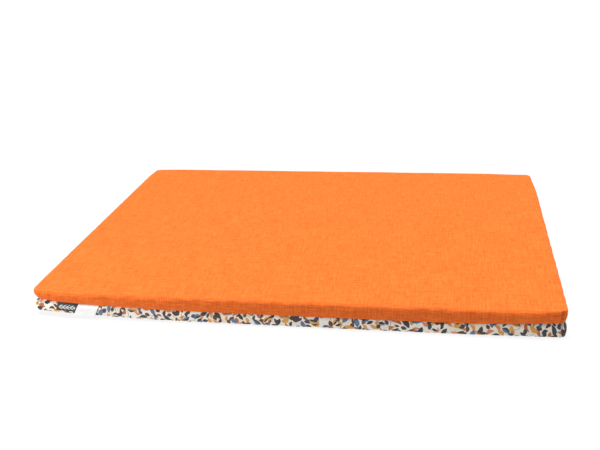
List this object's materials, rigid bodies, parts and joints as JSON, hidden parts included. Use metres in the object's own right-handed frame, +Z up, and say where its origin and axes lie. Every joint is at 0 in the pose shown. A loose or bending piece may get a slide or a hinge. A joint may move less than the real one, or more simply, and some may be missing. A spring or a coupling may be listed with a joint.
{
  "type": "kneeling pad",
  "caption": "Flat rectangular foam kneeling pad in a removable two-tone cloth cover: plain upper panel, leaf-print lower panel, seam round the side, two labels and a back zip.",
  "frame": {"origin": "middle of the pad's underside, on the floor", "axes": "+X along the long side, -Y towards the long side with the labels, +Z up out of the kneeling face"},
  "size_m": [0.6, 0.455, 0.032],
  "materials": {
    "orange_cloth": "slub-woven polyester, matt, orange",
    "printed_cloth": "off-white polyester printed with small leaves in navy, blue, brown, rust and mustard",
    "foam": "open-cell polyurethane foam, pale cream",
    "orange_thread": "spun polyester sewing thread, orange",
    "cream_thread": "spun polyester sewing thread, off-white",
    "zip_tape": "woven polyester zip tape, orange",
    "zip_coil": "moulded nylon coil, orange",
    "zip_metal": "nickel-plated zinc, satin",
    "woven_label": "woven damask, near black, with a pale leaf sprig",
    "care_label": "white satin ribbon with faint plain grey marks"
  },
  "bodies": {
    "pad": {"top_cover": "orange_cloth", "base_cover": "printed_cloth", "foam_core": "foam", "seam_thread": "orange_thread", "zip_tape_upper": "zip_tape", "zip_tape_lower": "zip_tape", "zip_coil_upper": "zip_coil", "zip_coil_lower": "zip_coil", "zip_bottom_stop": "zip_metal", "zip_top_stop_upper": "zip_metal", "zip_top_stop_lower": "zip_metal", "zip_stitch_upper": "orange_thread", "zip_stitch_lower": "cream_thread", "bar_tack_left": "orange_thread", "bar_tack_right": "orange_thread", "woven_label": "woven_label", "care_label": "care_label", "top_corner_thread_front_right": "orange_thread", "base_corner_thread_front_right": "cream_thread", "top_corner_thread_back_right": "orange_thread", "base_corner_thread_back_right": "cream_thread", "top_corner_thread_back_left": "orange_thread", "base_corner_thread_back_left": "cream_thread", "top_corner_thread_front_left": "orange_thread", "base_corner_thread_front_left": "cream_thread"},
    "slider": {"zip_slider": "zip_metal"},
    "pull": {"zip_pull_tab": "zip_metal"}
  },
  "joints": [
    {"name": "zip_slide", "type": "slide", "parent": "pad", "child": "slider", "axis": [1, 0, 0], "range_m": [0, 0.472], "deforming": ["zip_coil_upper", "zip_coil_lower", "zip_tape_upper", "zip_tape_lower"]},
    {"name": "pull_swing", "type": "hinge", "parent": "slider", "child": "pull", "pos_m": [-0.236, 0.2267, 0.0135], "axis": [0, 0, 1], "range_deg": [0, 180]}
  ]
}
